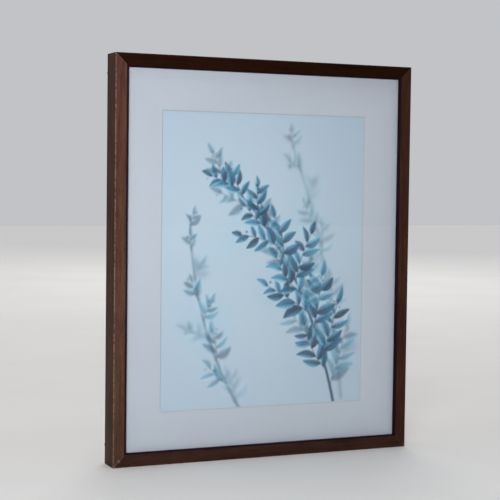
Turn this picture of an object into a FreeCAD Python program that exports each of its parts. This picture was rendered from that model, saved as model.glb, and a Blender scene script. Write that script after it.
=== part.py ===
"""Mitred picture frame for a wall, with its glazed picture pack, strainer and hanging hardware.

Millimetres, +Z up. The front faces -Y and the wall is the plane y = 0. The origin is the point
on the wall midway between the two hooks that carry the frame.
"""

import FreeCAD, Part
import math
import os

from FreeCAD import Vector

# ---------------------------------------------------------------- driving dimensions
# picture pack: glazing and boards are all cut to the one picture size
picture_width = 406.4
picture_height = 508.0
glazing_thickness = 2.0
mat_thickness = 1.4
window_width = 293.5
window_height = 391.5
print_width = 304.8
print_height = 406.4
print_thickness = 0.25
tape_thickness = 0.15
mount_board_thickness = 1.4
backing_thickness = 3.0

# wood moulding
frame_depth = 35.0
lip_thickness = 5.5
lip_cover = 7.5
wall_thickness = 10.5
rebate_clearance = 1.5
front_arris_radius = 1.5
back_arris_radius = 0.6

# nails that hold the mitres
v_nail_leg = 5.0
v_nail_height = 7.0
v_nail_gauge = 0.6
v_nail_inset = 3.4
v_nail_setback = 0.5
v_nails_per_corner = 2

# paper hinges
book_hinge_length = 320.0
book_hinge_width = 14.0
t_hinge_spacing = 190.0
t_hinge_width = 22.0
t_hinge_rise_share = 0.55
t_hinge_cross_share = 0.6
t_hinge_grip = 9.0
t_hinge_cross_width = 48.0

# strainer
strainer_width = 20.0
corner_screw_radius = 1.75
corner_screw_length = 18.0
corner_head_radius = 3.6

# turn buttons
button_thickness = 1.2
button_width = 9.0
button_tip_width = 6.5
button_reach = 22.0
button_tab_rise = 1.6
button_tab_length = 2.6
button_spacing_on_sides = 380.0
button_spacing_on_ends = 240.0
button_head_gap = 0.1
button_screw_radius = 1.5
button_screw_length = 12.0
button_head_radius = 3.0
button_head_height = 1.7

# D-ring hangers
hook_drop = 110.0
strap_width = 12.0
strap_sheet = 0.8
strap_length = 24.0
strap_fold_length = 6.0
strap_hole_to_end = 6.5
ring_wire = 2.4
ring_inner_width = 15.0
ring_leg = 3.2
ring_corner_radius = 2.0
ring_rest_gap = 0.2
ring_sides = 10
hanger_screw_radius = 1.6
hanger_screw_length = 14.0
hanger_head_radius = 3.2
hanger_head_height = 1.8

# fits and the cross in each screw's head
running_clearance = 0.08
screw_hole_clearance = 0.2
recess_width = 0.8
recess_depth = 0.9
recess_share = 0.55
head_rim_share = 0.45
head_crown_share = 0.72
point_radius = 0.3
shank_sides = 10
head_sides = 20

# wall bumpers
bumper_thickness = 4.5
bumper_radius = 4.75
bumper_face_radius = 4.0
bumper_bevel = 0.5
bumper_sides = 28
bumper_from_end = 24.0

# ---------------------------------------------------------------- derived sizes and places
face_width = wall_thickness + lip_cover
outer_width = picture_width + 2 * (rebate_clearance + wall_thickness)
outer_height = picture_height + 2 * (rebate_clearance + wall_thickness)

y_back = -bumper_thickness
y_front = y_back - frame_depth
y_glazing = y_front + lip_thickness
y_mat = y_glazing + glazing_thickness
y_print = y_mat + mat_thickness
y_tape = y_print + print_thickness
y_mount = y_tape + tape_thickness
y_backing = y_mount + mount_board_thickness
y_strainer = y_backing + backing_thickness

z_top = hook_drop
z_bottom = z_top - outer_height
z_middle = (z_top + z_bottom) / 2

# The pack stands on the bottom rail's rebate and has slid over against the left rail's.
pack_x = -rebate_clearance
pack_z = z_middle - rebate_clearance

pivot_inset = wall_thickness / 2
button_seat = y_back + button_thickness + button_head_gap
half_sides = button_spacing_on_sides / 2
half_ends = button_spacing_on_ends / 2

# turn button: (side of the frame, place along that rail before it is turned to its side)
button_places = {
    "turn_button_left_upper": ("left", -half_sides),
    "turn_button_left_lower": ("left", half_sides),
    "turn_button_right_lower": ("right", -half_sides),
    "turn_button_right_upper": ("right", half_sides),
    "turn_button_top_right": ("top", -half_ends),
    "turn_button_top_left": ("top", half_ends),
    "turn_button_bottom_left": ("bottom", -half_ends),
    "turn_button_bottom_right": ("bottom", half_ends),
}

strap_thickness = 2 * strap_sheet
knuckle_bore = ring_wire / 2 + running_clearance
knuckle_radius = knuckle_bore + strap_sheet
ring_half_width = (ring_inner_width + ring_wire) / 2
ring_reach = ring_leg + ring_half_width
ring_axis_y = y_back + knuckle_radius
ring_axis_z = ring_wire / 2 - ring_reach
ring_rest_rise = y_back + strap_thickness + ring_rest_gap + ring_wire / 2 - ring_axis_y
ring_over_edge = ring_leg + math.sqrt(ring_half_width**2 - (strap_width / 2) ** 2)
ring_rest_tilt = math.degrees(math.asin(ring_rest_rise / ring_over_edge))
hanger_hole_drop = strap_length - strap_hole_to_end
hanger_inset = (picture_width - strainer_width) / 2

ORIGIN = Vector(0, 0, 0)
ACROSS = Vector(1, 0, 0)
TO_WALL = Vector(0, 1, 0)
UP = Vector(0, 0, 1)

parts = {}


# ---------------------------------------------------------------- shapes used again and again
def block(x0, x1, y0, y1, z0, z1):
    """A box between two corners."""
    return Part.makeBox(x1 - x0, y1 - y0, z1 - z0, Vector(x0, y0, z0))


def rod(radius, y0, y1):
    """A round rod on the y axis."""
    return Part.makeCylinder(radius, y1 - y0, Vector(0, y0, 0), TO_WALL)


def board(width, height, y0, thickness, x=pack_x, z=pack_z):
    """A flat upright sheet, centred on (x, z), with its front face at y0."""
    return block(x - width / 2, x + width / 2, y0, y0 + thickness, z - height / 2, z + height / 2)


def prism(corners, y0, y1):
    """A straight prism towards the wall on a polygon of (x, z) corners."""
    loop = [Vector(x, y0, z) for x, z in corners]
    return Part.Face(Part.makePolygon(loop + loop[:1])).extrude(Vector(0, y1 - y0, 0))


def many_sided(outline, sides):
    """A small round solid on the y axis, from (radius, y) corners, with flats so that it stays light."""
    turns = [2 * math.pi * i / sides for i in range(sides)]
    rings = [[Vector(r * math.cos(t), y, r * math.sin(t)) for t in turns] for r, y in outline]
    panels = [rings[0], rings[-1]]
    for low, high in zip(rings, rings[1:]):
        panels += [[low[i - 1], low[i], high[i], high[i - 1]] for i in range(sides)]
    shell = Part.makeShell([Part.Face(Part.makePolygon(panel + panel[:1])) for panel in panels])
    shell.sewShape()
    return Part.makeSolid(shell)


def moved(shape, x=0.0, y=0.0, z=0.0):
    """A copy of the shape, shifted."""
    copy = shape.copy()
    copy.translate(Vector(x, y, z))
    return copy


def on_side(shape, side, width, height, x, z):
    """Takes a shape made for a rectangle's bottom edge, which is z = 0 there, to any side of it."""
    turn, middle_x, middle_z = {
        "bottom": (0, x, z - height / 2),
        "right": (-90, x + width / 2, z),
        "top": (180, x, z + height / 2),
        "left": (90, x - width / 2, z),
    }[side]
    placed = shape.copy()
    placed.rotate(ORIGIN, TO_WALL, turn)
    return moved(placed, middle_x, 0, middle_z)


def on_frame(shape, side):
    """Takes a shape from the bottom rail's outer edge to any rail's."""
    return on_side(shape, side, outer_width, outer_height, 0, z_middle)


def on_pack(shape, side):
    """Takes a shape from the bottom edge of the picture pack to any edge of it."""
    return on_side(shape, side, picture_width, picture_height, pack_x, pack_z)


# ---------------------------------------------------------------- screws
def shank(radius, length, seat):
    """A screw's shank with its point, from its seat towards the front. Its hole has the same shape."""
    tip = seat - length
    return many_sided([(point_radius, tip), (radius, tip + 2 * radius), (radius, seat)], shank_sides)


def cross_recess(head_radius, y_top):
    """The driver's cross in a screw head."""
    reach = head_radius * recess_share
    half = recess_width / 2
    y0 = y_top - recess_depth
    across = block(-reach, reach, y0, y_top, -half, half)
    return across.fuse(block(-half, half, y0, y_top, -reach, reach))


def pan_screw(radius, length, head_radius, head_height, seat):
    """A screw with a pan head that bears on y = seat."""
    top = seat + head_height
    rim = seat + head_height * head_rim_share
    crown = head_radius * head_crown_share
    head = many_sided([(head_radius, seat), (head_radius, rim), (crown, top)], head_sides)
    return head.cut(cross_recess(head_radius, top)).fuse(shank(radius, length, seat))


def flat_screw_form(radius, length, head_radius, seat):
    """A countersunk screw without its cross, which is also the shape of its hole."""
    neck = seat - (head_radius - radius)
    head = many_sided([(radius, neck), (head_radius, seat)], head_sides)
    return head.fuse(shank(radius, length - (seat - neck), neck))


# ---------------------------------------------------------------- wood moulding
def runs_on(edge, y, z):
    """Whether an edge lies on the line (y, z) along a rail."""
    return all(abs(v.Y - y) < 1e-6 and abs(v.Z - z) < 1e-6 for v in edge.Vertexes)


def eased(bar, radius, lines):
    """The bar with its long arrises on the given (y, z) lines rounded over."""
    edges = [e for e in bar.Edges if any(runs_on(e, y, z) for y, z in lines)]
    return bar.makeFillet(radius, edges)


def rail(length):
    """A rail of the moulding along X, outer edge on z = 0, with both ends mitred."""
    section = [
        Vector(0, y_front, 0),
        Vector(0, y_front, face_width),
        Vector(0, y_glazing, face_width),
        Vector(0, y_glazing, wall_thickness),
        Vector(0, y_back, wall_thickness),
        Vector(0, y_back, 0),
    ]
    bar = Part.Face(Part.makePolygon(section + section[:1])).extrude(Vector(length, 0, 0))
    bar = eased(bar, front_arris_radius, [(y_front, 0), (y_front, face_width)])
    bar = eased(bar, back_arris_radius, [(y_back, 0), (y_back, wall_thickness)])
    half = length / 2
    inner = half - face_width
    mitre = prism([(-half, 0), (half, 0), (inner, face_width), (-inner, face_width)], y_front, y_back)
    return moved(bar, -half).common(mitre)


def v_nail(side_x, level):
    """A bent nail across a lower mitre, its point towards the corner, one of those driven one on another."""
    y_end = y_back - v_nail_setback - level * v_nail_height
    near = v_nail_inset
    inner = v_nail_inset + v_nail_gauge
    far = v_nail_inset + v_nail_leg
    bend = [(near, near), (far, near), (far, inner), (inner, inner), (inner, far), (near, far)]
    corner = outer_width / 2
    outline = [(side_x * (corner - x), z) for x, z in bend]
    return on_frame(prism(outline, y_end - v_nail_height, y_end), "bottom")


def all_v_nails():
    """Every corner's nails; the upper corners mirror the lower ones."""
    lower = [v_nail(side_x, level) for side_x in (-1, 1) for level in range(v_nails_per_corner)]
    return lower + [nail.mirror(Vector(0, 0, z_middle), UP) for nail in lower]


def at_pivot(shape, name):
    """Takes a shape made about the origin, +Z into the frame, to a turn button's pivot."""
    side, along = button_places[name]
    return on_frame(moved(shape, along, 0, pivot_inset), side)


def add_moulding():
    """The four rails with the slots and pilot holes that their fixings make."""
    nails = all_v_nails()
    pilot = shank(button_screw_radius, button_screw_length, button_seat)
    holes = nails + [at_pivot(pilot, name) for name in button_places]
    for side in ("top", "bottom", "left", "right"):
        length = outer_width if side in ("top", "bottom") else outer_height
        parts["rail_" + side] = on_frame(rail(length), side).cut(holes)
    parts["v_nails"] = Part.makeCompound(nails)


# ---------------------------------------------------------------- picture pack
def window(grow, y):
    """The rectangle of the mat's opening, larger by grow on each side."""
    half_x = window_width / 2 + grow
    half_z = window_height / 2 + grow
    corners = ((-1, -1), (1, -1), (1, 1), (-1, 1))
    loop = [Vector(pack_x + a * half_x, y, pack_z + b * half_z) for a, b in corners]
    return Part.makePolygon(loop + loop[:1])


def add_pack():
    """Glazing, window mat with its 45 degree bevel, print, mount board and backing board."""
    bevelled = Part.makeLoft([window(mat_thickness, y_mat), window(0, y_print)], True, True)
    parts["glazing"] = board(picture_width, picture_height, y_glazing, glazing_thickness)
    parts["window_mat"] = board(picture_width, picture_height, y_mat, mat_thickness).cut(bevelled)
    parts["art_print"] = board(print_width, print_height, y_print, print_thickness)
    parts["mount_board"] = board(picture_width, picture_height, y_mount, mount_board_thickness)
    parts["backing_board"] = board(picture_width, picture_height, y_backing, backing_thickness)


def add_paper_hinges():
    """The folded tape that joins mat to mount board, and the two T-hinges that hang the print."""
    pack_top = pack_z + picture_height / 2
    fold_z = pack_top - book_hinge_width / 2
    t_hinge_rise = t_hinge_rise_share * ((picture_height - print_height) / 2 - book_hinge_width)
    t_hinge_cross_height = t_hinge_cross_share * t_hinge_rise
    layers = print_thickness + tape_thickness
    parts["book_hinge"] = board(book_hinge_length, book_hinge_width, y_print, layers, z=fold_z)

    print_top = pack_z + print_height / 2
    stem_height = t_hinge_grip + t_hinge_rise
    stem_z = print_top - t_hinge_grip + stem_height / 2
    cross_z = print_top + t_hinge_rise - t_hinge_cross_height / 2
    y_cross = y_tape - tape_thickness
    tapes = []
    for x in (pack_x - t_hinge_spacing / 2, pack_x + t_hinge_spacing / 2):
        tapes.append(board(t_hinge_width, stem_height, y_tape, tape_thickness, x, stem_z))
        tapes.append(board(t_hinge_cross_width, t_hinge_cross_height, y_cross, tape_thickness, x, cross_z))
    parts["t_hinges"] = Part.makeCompound(tapes)


# ---------------------------------------------------------------- strainer
def strainer_bar(length, keeps_front):
    """A bar along X, outer edge on z = 0, with half its depth cut away at each end."""
    lap = (y_strainer + y_back) / 2
    y0, y1 = (lap, y_back) if keeps_front else (y_strainer, lap)
    half = length / 2
    bar = block(-half, half, y_strainer, y_back, 0, strainer_width)
    left = block(-half, strainer_width - half, y0, y1, 0, strainer_width)
    right = block(half - strainer_width, half, y0, y1, 0, strainer_width)
    return bar.cut([left, right])


def add_strainer():
    """Four softwood bars, halved over each other at the corners and screwed from the back."""
    form = flat_screw_form(corner_screw_radius, corner_screw_length, corner_head_radius, y_back)
    screw = form.cut(cross_recess(corner_head_radius, y_back))
    reach_x = (picture_width - strainer_width) / 2
    reach_z = (picture_height - strainer_width) / 2
    corners = [(pack_x + a * reach_x, pack_z + b * reach_z) for a in (-1, 1) for b in (-1, 1)]
    countersinks = [moved(form, x, 0, z) for x, z in corners]
    for side in ("top", "bottom", "left", "right"):
        keeps_front = side in ("top", "bottom")
        length = picture_width if keeps_front else picture_height
        bar = on_pack(strainer_bar(length, keeps_front), side)
        parts["strainer_" + side] = bar.cut(countersinks + hanger_pilots())
    parts["strainer_screws"] = Part.makeCompound([moved(screw, x, 0, z) for x, z in corners])


# ---------------------------------------------------------------- turn buttons
def teardrop(y0, y1):
    """The turn button's outline: a wide round end at the pivot and a narrow one at the tip, as a prism."""
    wide = button_width / 2
    narrow = button_tip_width / 2
    run = button_reach - narrow
    lean = math.asin((wide - narrow) / run)
    side_x, side_z = math.cos(lean), math.sin(lean)
    low_left = Vector(-wide * side_x, y0, wide * side_z)
    low_right = Vector(wide * side_x, y0, wide * side_z)
    high_right = Vector(narrow * side_x, y0, run + narrow * side_z)
    high_left = Vector(-narrow * side_x, y0, run + narrow * side_z)
    edges = [
        Part.Arc(low_left, Vector(0, y0, -wide), low_right).toShape(),
        Part.LineSegment(low_right, high_right).toShape(),
        Part.Arc(high_right, Vector(0, y0, button_reach), high_left).toShape(),
        Part.LineSegment(high_left, low_left).toShape(),
    ]
    return Part.Face(Part.Wire(edges)).extrude(Vector(0, y1 - y0, 0))


def turn_button():
    """A steel button about the origin, its finger tab bent up at the tip."""
    bend = button_reach - button_tab_length
    y0 = y_back
    section = [
        (y0, -button_width),
        (y0, bend),
        (y0 + button_tab_rise, button_reach),
        (y0 + button_tab_rise + button_thickness, button_reach),
        (y0 + button_thickness, bend),
        (y0 + button_thickness, -button_width),
    ]
    loop = [Vector(-button_width, y, z) for y, z in section]
    strip = Part.Face(Part.makePolygon(loop + loop[:1])).extrude(ACROSS * (2 * button_width))
    plate = strip.common(teardrop(y0, y0 + button_thickness + button_tab_rise))
    return plate.cut(rod(button_screw_radius + running_clearance, y0, y0 + button_thickness))


def add_turn_buttons():
    """Eight buttons that hold the strainer in, each on its own screw."""
    button = turn_button()
    screw = pan_screw(
        button_screw_radius, button_screw_length, button_head_radius, button_head_height, button_seat
    )
    for name in button_places:
        parts[name] = at_pivot(button, name)
    parts["button_screws"] = Part.makeCompound([at_pivot(screw, name) for name in button_places])


# ---------------------------------------------------------------- hangers
def hanger_places():
    """Each hanger's side and the x of its middle, on the strainer's side bars."""
    return {"left": pack_x - hanger_inset, "right": pack_x + hanger_inset}


def hanger_pilots():
    """The holes in the strainer for the hangers' screws."""
    hole = shank(hanger_screw_radius, hanger_screw_length, y_back + strap_thickness)
    return [moved(hole, x, 0, ring_axis_z - hanger_hole_drop) for x in hanger_places().values()]


def fold_tangent():
    """Where the strap's upper leaf leaves its round knuckle, as (y, z) from the ring's axis."""
    y = y_back + strap_thickness - ring_axis_y
    z = -strap_fold_length
    far = y**2 + z**2
    along = math.sqrt(far - knuckle_radius**2)
    scale = knuckle_radius / far
    return (scale * (y * knuckle_radius - z * along), scale * (z * knuckle_radius + y * along))


def hanger_strap():
    """A strip folded round the ring's bar and doubled flat, the bar's axis on the x axis."""
    down = y_back - ring_axis_y
    top = down + strap_thickness
    leave_y, leave_z = fold_tangent()
    x0 = -strap_width / 2
    corners = [
        Vector(x0, leave_y, leave_z),
        Vector(x0, top, -strap_fold_length),
        Vector(x0, top, -strap_length),
        Vector(x0, down, -strap_length),
        Vector(x0, down, 0),
    ]
    edges = [Part.LineSegment(a, b).toShape() for a, b in zip(corners, corners[1:])]
    crown = Vector(x0, 0, knuckle_radius)
    edges.append(Part.Arc(corners[-1], crown, corners[0]).toShape())
    strip = Part.Face(Part.Wire(edges)).extrude(ACROSS * strap_width)
    bore = Part.makeCylinder(knuckle_bore, strap_width, Vector(x0, 0, 0), ACROSS)

    end_radius = strap_width / 2
    round_end = moved(rod(end_radius, down, knuckle_radius), 0, 0, end_radius - strap_length)
    straight = block(x0, -x0, down, knuckle_radius, end_radius - strap_length, knuckle_radius)
    hole_radius = hanger_screw_radius + screw_hole_clearance
    hole = moved(many_sided([(hole_radius, down), (hole_radius, top)], head_sides), 0, 0, -hanger_hole_drop)
    return strip.common(straight.fuse(round_end)).cut([bore, hole])


def hanger_ring():
    """A closed D of wire that hangs down from its straight round bar on the x axis."""
    half = ring_half_width
    corner = ring_corner_radius
    slant = corner * (1 - math.sqrt(0.5))
    bar_left = Vector(corner - half, 0, 0)
    bar_right = Vector(half - corner, 0, 0)
    right_top = Vector(half, 0, -corner)
    right_low = Vector(half, 0, -ring_leg)
    left_low = Vector(-half, 0, -ring_leg)
    left_top = Vector(-half, 0, -corner)
    path = Part.Wire(
        [
            Part.Arc(bar_right, Vector(half - slant, 0, -slant), right_top).toShape(),
            Part.LineSegment(right_top, right_low).toShape(),
            Part.Arc(right_low, Vector(0, 0, -ring_reach), left_low).toShape(),
            Part.LineSegment(left_low, left_top).toShape(),
            Part.Arc(left_top, Vector(slant - half, 0, -slant), bar_left).toShape(),
        ]
    )
    turns = [2 * math.pi * i / ring_sides for i in range(ring_sides)]
    loop = [bar_right + Vector(0, math.cos(t), math.sin(t)) * (ring_wire / 2) for t in turns]
    bow = path.makePipeShell([Part.makePolygon(loop + loop[:1])], True, False)
    bar = Part.makeCylinder(ring_wire / 2, bar_right.x - bar_left.x, bar_left, ACROSS)
    ring = bow.fuse(bar)
    ring.rotate(ORIGIN, ACROSS, ring_rest_tilt)
    return ring


def add_hangers():
    """A strap hanger on each side bar of the strainer, its ring lying down on the strap."""
    strap = hanger_strap()
    ring = hanger_ring()
    seat = y_back + strap_thickness
    screw = pan_screw(hanger_screw_radius, hanger_screw_length, hanger_head_radius, hanger_head_height, seat)
    screws = []
    for side, x in hanger_places().items():
        parts["hanger_strap_" + side] = moved(strap, x, ring_axis_y, ring_axis_z)
        parts["hanger_ring_" + side] = moved(ring, x, ring_axis_y, ring_axis_z)
        screws.append(moved(screw, x, 0, ring_axis_z - hanger_hole_drop))
    parts["hanger_screws"] = Part.makeCompound(screws)


# ---------------------------------------------------------------- bumpers
def add_bumpers():
    """A rubber bumper near each end of both side rails, which stands the frame off the wall."""
    shoulder = bumper_face_radius + bumper_bevel
    outline = [(bumper_radius, y_back), (shoulder, -bumper_bevel), (bumper_face_radius, 0)]
    pad = many_sided(outline, bumper_sides)
    reach_x = outer_width / 2 - pivot_inset
    for side, x in (("left", -reach_x), ("right", reach_x)):
        parts["bumper_top_" + side] = moved(pad, x, 0, z_top - bumper_from_end)
        parts["bumper_bottom_" + side] = moved(pad, x, 0, z_bottom + bumper_from_end)


# ---------------------------------------------------------------- build
add_moulding()
add_pack()
add_paper_hinges()
add_strainer()
add_turn_buttons()
add_hangers()
add_bumpers()

os.makedirs("parts", exist_ok=True)
for name, shape in parts.items():
    shape.exportStep(os.path.join("parts", name + ".step"))
    box = shape.BoundBox
    size = [round(length, 2) for length in (box.XLength, box.YLength, box.ZLength)]
    print(name, size, "solids", len(shape.Solids), "valid", shape.isValid(), "volume", round(shape.Volume, 1))
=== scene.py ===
# %% [markdown]
# # A walnut picture frame, piece by piece
#
# This lesson dresses a measured model of a wall frame. The measured model, called the frame here,
# already holds every rail, board, screw and ring at its true place. Each step below takes one of those
# pieces, says what it is on the real object, and gives it the shape and finish that the eye expects.
# All lengths are in metres. The front faces -Y, +Z is up, and the wall is the plane y = 0.

# %% Load the measured model
import math

import bmesh
import bpy
import numpy as np
from mathutils import Matrix, Vector


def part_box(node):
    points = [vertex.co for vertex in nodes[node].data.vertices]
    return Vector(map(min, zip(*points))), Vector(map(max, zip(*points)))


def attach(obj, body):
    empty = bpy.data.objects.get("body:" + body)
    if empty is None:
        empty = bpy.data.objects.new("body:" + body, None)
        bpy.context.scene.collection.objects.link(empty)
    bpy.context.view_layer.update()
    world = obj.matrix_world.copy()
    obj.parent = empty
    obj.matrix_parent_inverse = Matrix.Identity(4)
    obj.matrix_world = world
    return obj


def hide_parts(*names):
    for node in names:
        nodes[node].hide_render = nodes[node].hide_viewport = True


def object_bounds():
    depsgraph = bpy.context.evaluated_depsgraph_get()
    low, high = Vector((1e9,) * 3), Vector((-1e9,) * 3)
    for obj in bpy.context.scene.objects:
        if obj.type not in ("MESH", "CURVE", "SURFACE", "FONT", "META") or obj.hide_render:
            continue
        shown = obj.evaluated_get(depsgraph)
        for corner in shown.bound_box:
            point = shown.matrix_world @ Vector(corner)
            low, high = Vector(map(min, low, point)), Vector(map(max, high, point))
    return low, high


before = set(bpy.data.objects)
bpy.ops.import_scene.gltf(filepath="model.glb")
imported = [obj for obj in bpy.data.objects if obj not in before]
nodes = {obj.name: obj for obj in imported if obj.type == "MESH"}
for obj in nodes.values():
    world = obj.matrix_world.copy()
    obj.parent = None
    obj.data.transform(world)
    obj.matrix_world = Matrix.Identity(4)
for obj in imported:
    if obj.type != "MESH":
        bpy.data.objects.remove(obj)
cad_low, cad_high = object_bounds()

MM = 0.001
scene = bpy.context.scene
centre = (cad_low + cad_high) / 2
scene.view_settings.view_transform = "Standard"
print(len(nodes), "measured pieces, outer size in mm:", [round(v / MM, 1) for v in cad_high - cad_low])

# %% [markdown]
# ## The viewpoint
#
# A frame on a wall is seen here from the left and a little above its middle, through a long lens, so
# that its left side shows and its upright edges stay nearly parallel. The camera could be aimed with a
# constraint, but three plain angles say more: how far it turns, how far it looks down, and how far it
# leans over. They are put together as matrices, because the lean comes before the dip and the turn.

# %% Camera
CAMERA_PLACE = (-0.7448, -1.6833, -0.0532)
CAMERA_TURN = -23.594
CAMERA_DIP = 2.851
CAMERA_LEAN = 0.727
CAMERA_LENS = 97.29
FILM_WIDTH = 36.0

camera_data = bpy.data.cameras.new("camera")
camera_data.sensor_width = FILM_WIDTH
camera_data.lens = CAMERA_LENS
camera = bpy.data.objects.new("camera", camera_data)
scene.collection.objects.link(camera)
turn = Matrix.Rotation(math.radians(CAMERA_TURN), 4, "Z")
dip = Matrix.Rotation(math.radians(90 - CAMERA_DIP), 4, "X")
lean = Matrix.Rotation(math.radians(CAMERA_LEAN), 4, "Z")
camera.matrix_world = Matrix.Translation(CAMERA_PLACE) @ turn @ dip @ lean
scene.camera = camera
print("camera at", [round(v, 3) for v in camera.matrix_world.translation])

# %% [markdown]
# ## Studio lamps
#
# The main lamp is a small soft box just above the camera. From there it lights the front of the
# moulding about twice as strongly as its left side. It is aimed a little left of the middle, so its
# light falls off towards the right. A large lamp behind lights the back for whoever walks round. Area
# lamps were chosen over points, because a soft edge to each shadow is what makes a studio.

# %% Lamps
KEY_PLACE = (-0.77, -1.36, 0.10)
KEY_AIM = centre + Vector((-0.16, 0.0, 0.06))
KEY_COLOUR = (0.96, 0.97, 1.0)
BACK_PLACE = (1.7, 3.4, 2.4)


def soft_lamp(name, place, target, size, power, spread=180, colour=(1.0, 1.0, 1.0)):
    """A square lamp at a place, turned to shine at a target, with its beam's spread in degrees."""
    data = bpy.data.lights.new(name, "AREA")
    data.size = size
    data.spread = math.radians(spread)
    data.energy = power
    data.color = colour
    lamp = bpy.data.objects.new(name, data)
    scene.collection.objects.link(lamp)
    lamp.location = place
    lamp.rotation_euler = (Vector(target) - Vector(place)).to_track_quat("-Z", "Y").to_euler()
    lamp.visible_camera = False
    return lamp


soft_lamp("key_lamp", KEY_PLACE, KEY_AIM, size=0.30, power=2.57, spread=75, colour=KEY_COLOUR)
soft_lamp("back_lamp", BACK_PLACE, centre, size=2.5, power=60.0)

# %% [markdown]
# ## Light from overhead
#
# The ceiling of a studio glows evenly. No lamp of a real size could do that for a floor that reaches
# to the horizon, so a sun stands in for it. Its rays are spread as wide as a ceiling's, which leaves
# no hard shadow.

# %% Overhead light
OVERHEAD_STRENGTH = 1.7
OVERHEAD_SPREAD = 75
OVERHEAD_PLACE = (0.0, 0.0, 3.0)
overhead_data = bpy.data.lights.new("overhead", "SUN")
overhead_data.energy = OVERHEAD_STRENGTH
overhead_data.angle = math.radians(OVERHEAD_SPREAD)
overhead = bpy.data.objects.new("overhead", overhead_data)
scene.collection.objects.link(overhead)
overhead.location = OVERHEAD_PLACE
print("overhead light spread over", OVERHEAD_SPREAD, "degrees")

# %% [markdown]
# ## Air
#
# Around the floor there is only air. It is seen, and mirrored in the glass, in nearly the same tone as
# the floor's far end, so that no hard line of a horizon shows. But it gives little light, or it would
# fill every shadow. One world can do all three if it asks what kind of ray has met it.

# %% Air
AIR_COLOUR = (0.86, 0.88, 0.91, 1.0)
AIR_LIGHT = 0.07
AIR_SEEN = 0.62
AIR_MIRRORED = 0.57
world = bpy.data.worlds.new("studio_air")
world.use_nodes = True
air = world.node_tree.nodes
link = world.node_tree.links.new
rays = air.new("ShaderNodeLightPath").outputs


def air_for(ray, strength, otherwise):
    """The air as one kind of ray sees it."""
    seen = air.new("ShaderNodeBackground")
    seen.inputs["Color"].default_value = AIR_COLOUR
    seen.inputs["Strength"].default_value = strength
    choice = air.new("ShaderNodeMixShader")
    link(rays[ray], choice.inputs[0])
    link(otherwise.outputs[0], choice.inputs[1])
    link(seen.outputs[0], choice.inputs[2])
    return choice


air["Background"].inputs["Color"].default_value = AIR_COLOUR
air["Background"].inputs["Strength"].default_value = AIR_LIGHT
mirrored = air_for("Is Glossy Ray", AIR_MIRRORED, air["Background"])
whole_air = air_for("Is Camera Ray", AIR_SEEN, mirrored)
link(whole_air.outputs[0], air["World Output"].inputs["Surface"])
scene.world = world
print("air:", {"light": AIR_LIGHT, "seen": AIR_SEEN, "mirrored": AIR_MIRRORED})

# %% [markdown]
# ## Floor
#
# A wide flat sheet that the frame stands on. It is scenery and not a piece.

# %% Floor
FLOOR_REACH = 9.0
floor_mesh = bpy.data.meshes.new("floor")
floor_form = bmesh.new()
bmesh.ops.create_grid(floor_form, x_segments=1, y_segments=1, size=FLOOR_REACH)
bmesh.ops.translate(floor_form, verts=floor_form.verts, vec=(0, 0, cad_low.z))
floor_form.to_mesh(floor_mesh)
floor_form.free()
floor = bpy.data.objects.new("floor", floor_mesh)
scene.collection.objects.link(floor)
print("floor at z in mm:", round(cad_low.z / MM, 1))

# %% [markdown]
# ## Building materials from nodes
#
# Wood, board, zinc and rubber are all made from the same few kinds of node: noise for what nature
# scatters, a ramp to turn a grey value into colours, and a bump to let the same value catch the light.
# Small helpers keep each recipe short enough to read as a recipe.

# %% Node helpers
# A Mix node in its colour mode keeps its two colours and its result at these sockets.
FIRST_COLOUR, SECOND_COLOUR, MIXED_COLOUR = 6, 7, 2


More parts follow.
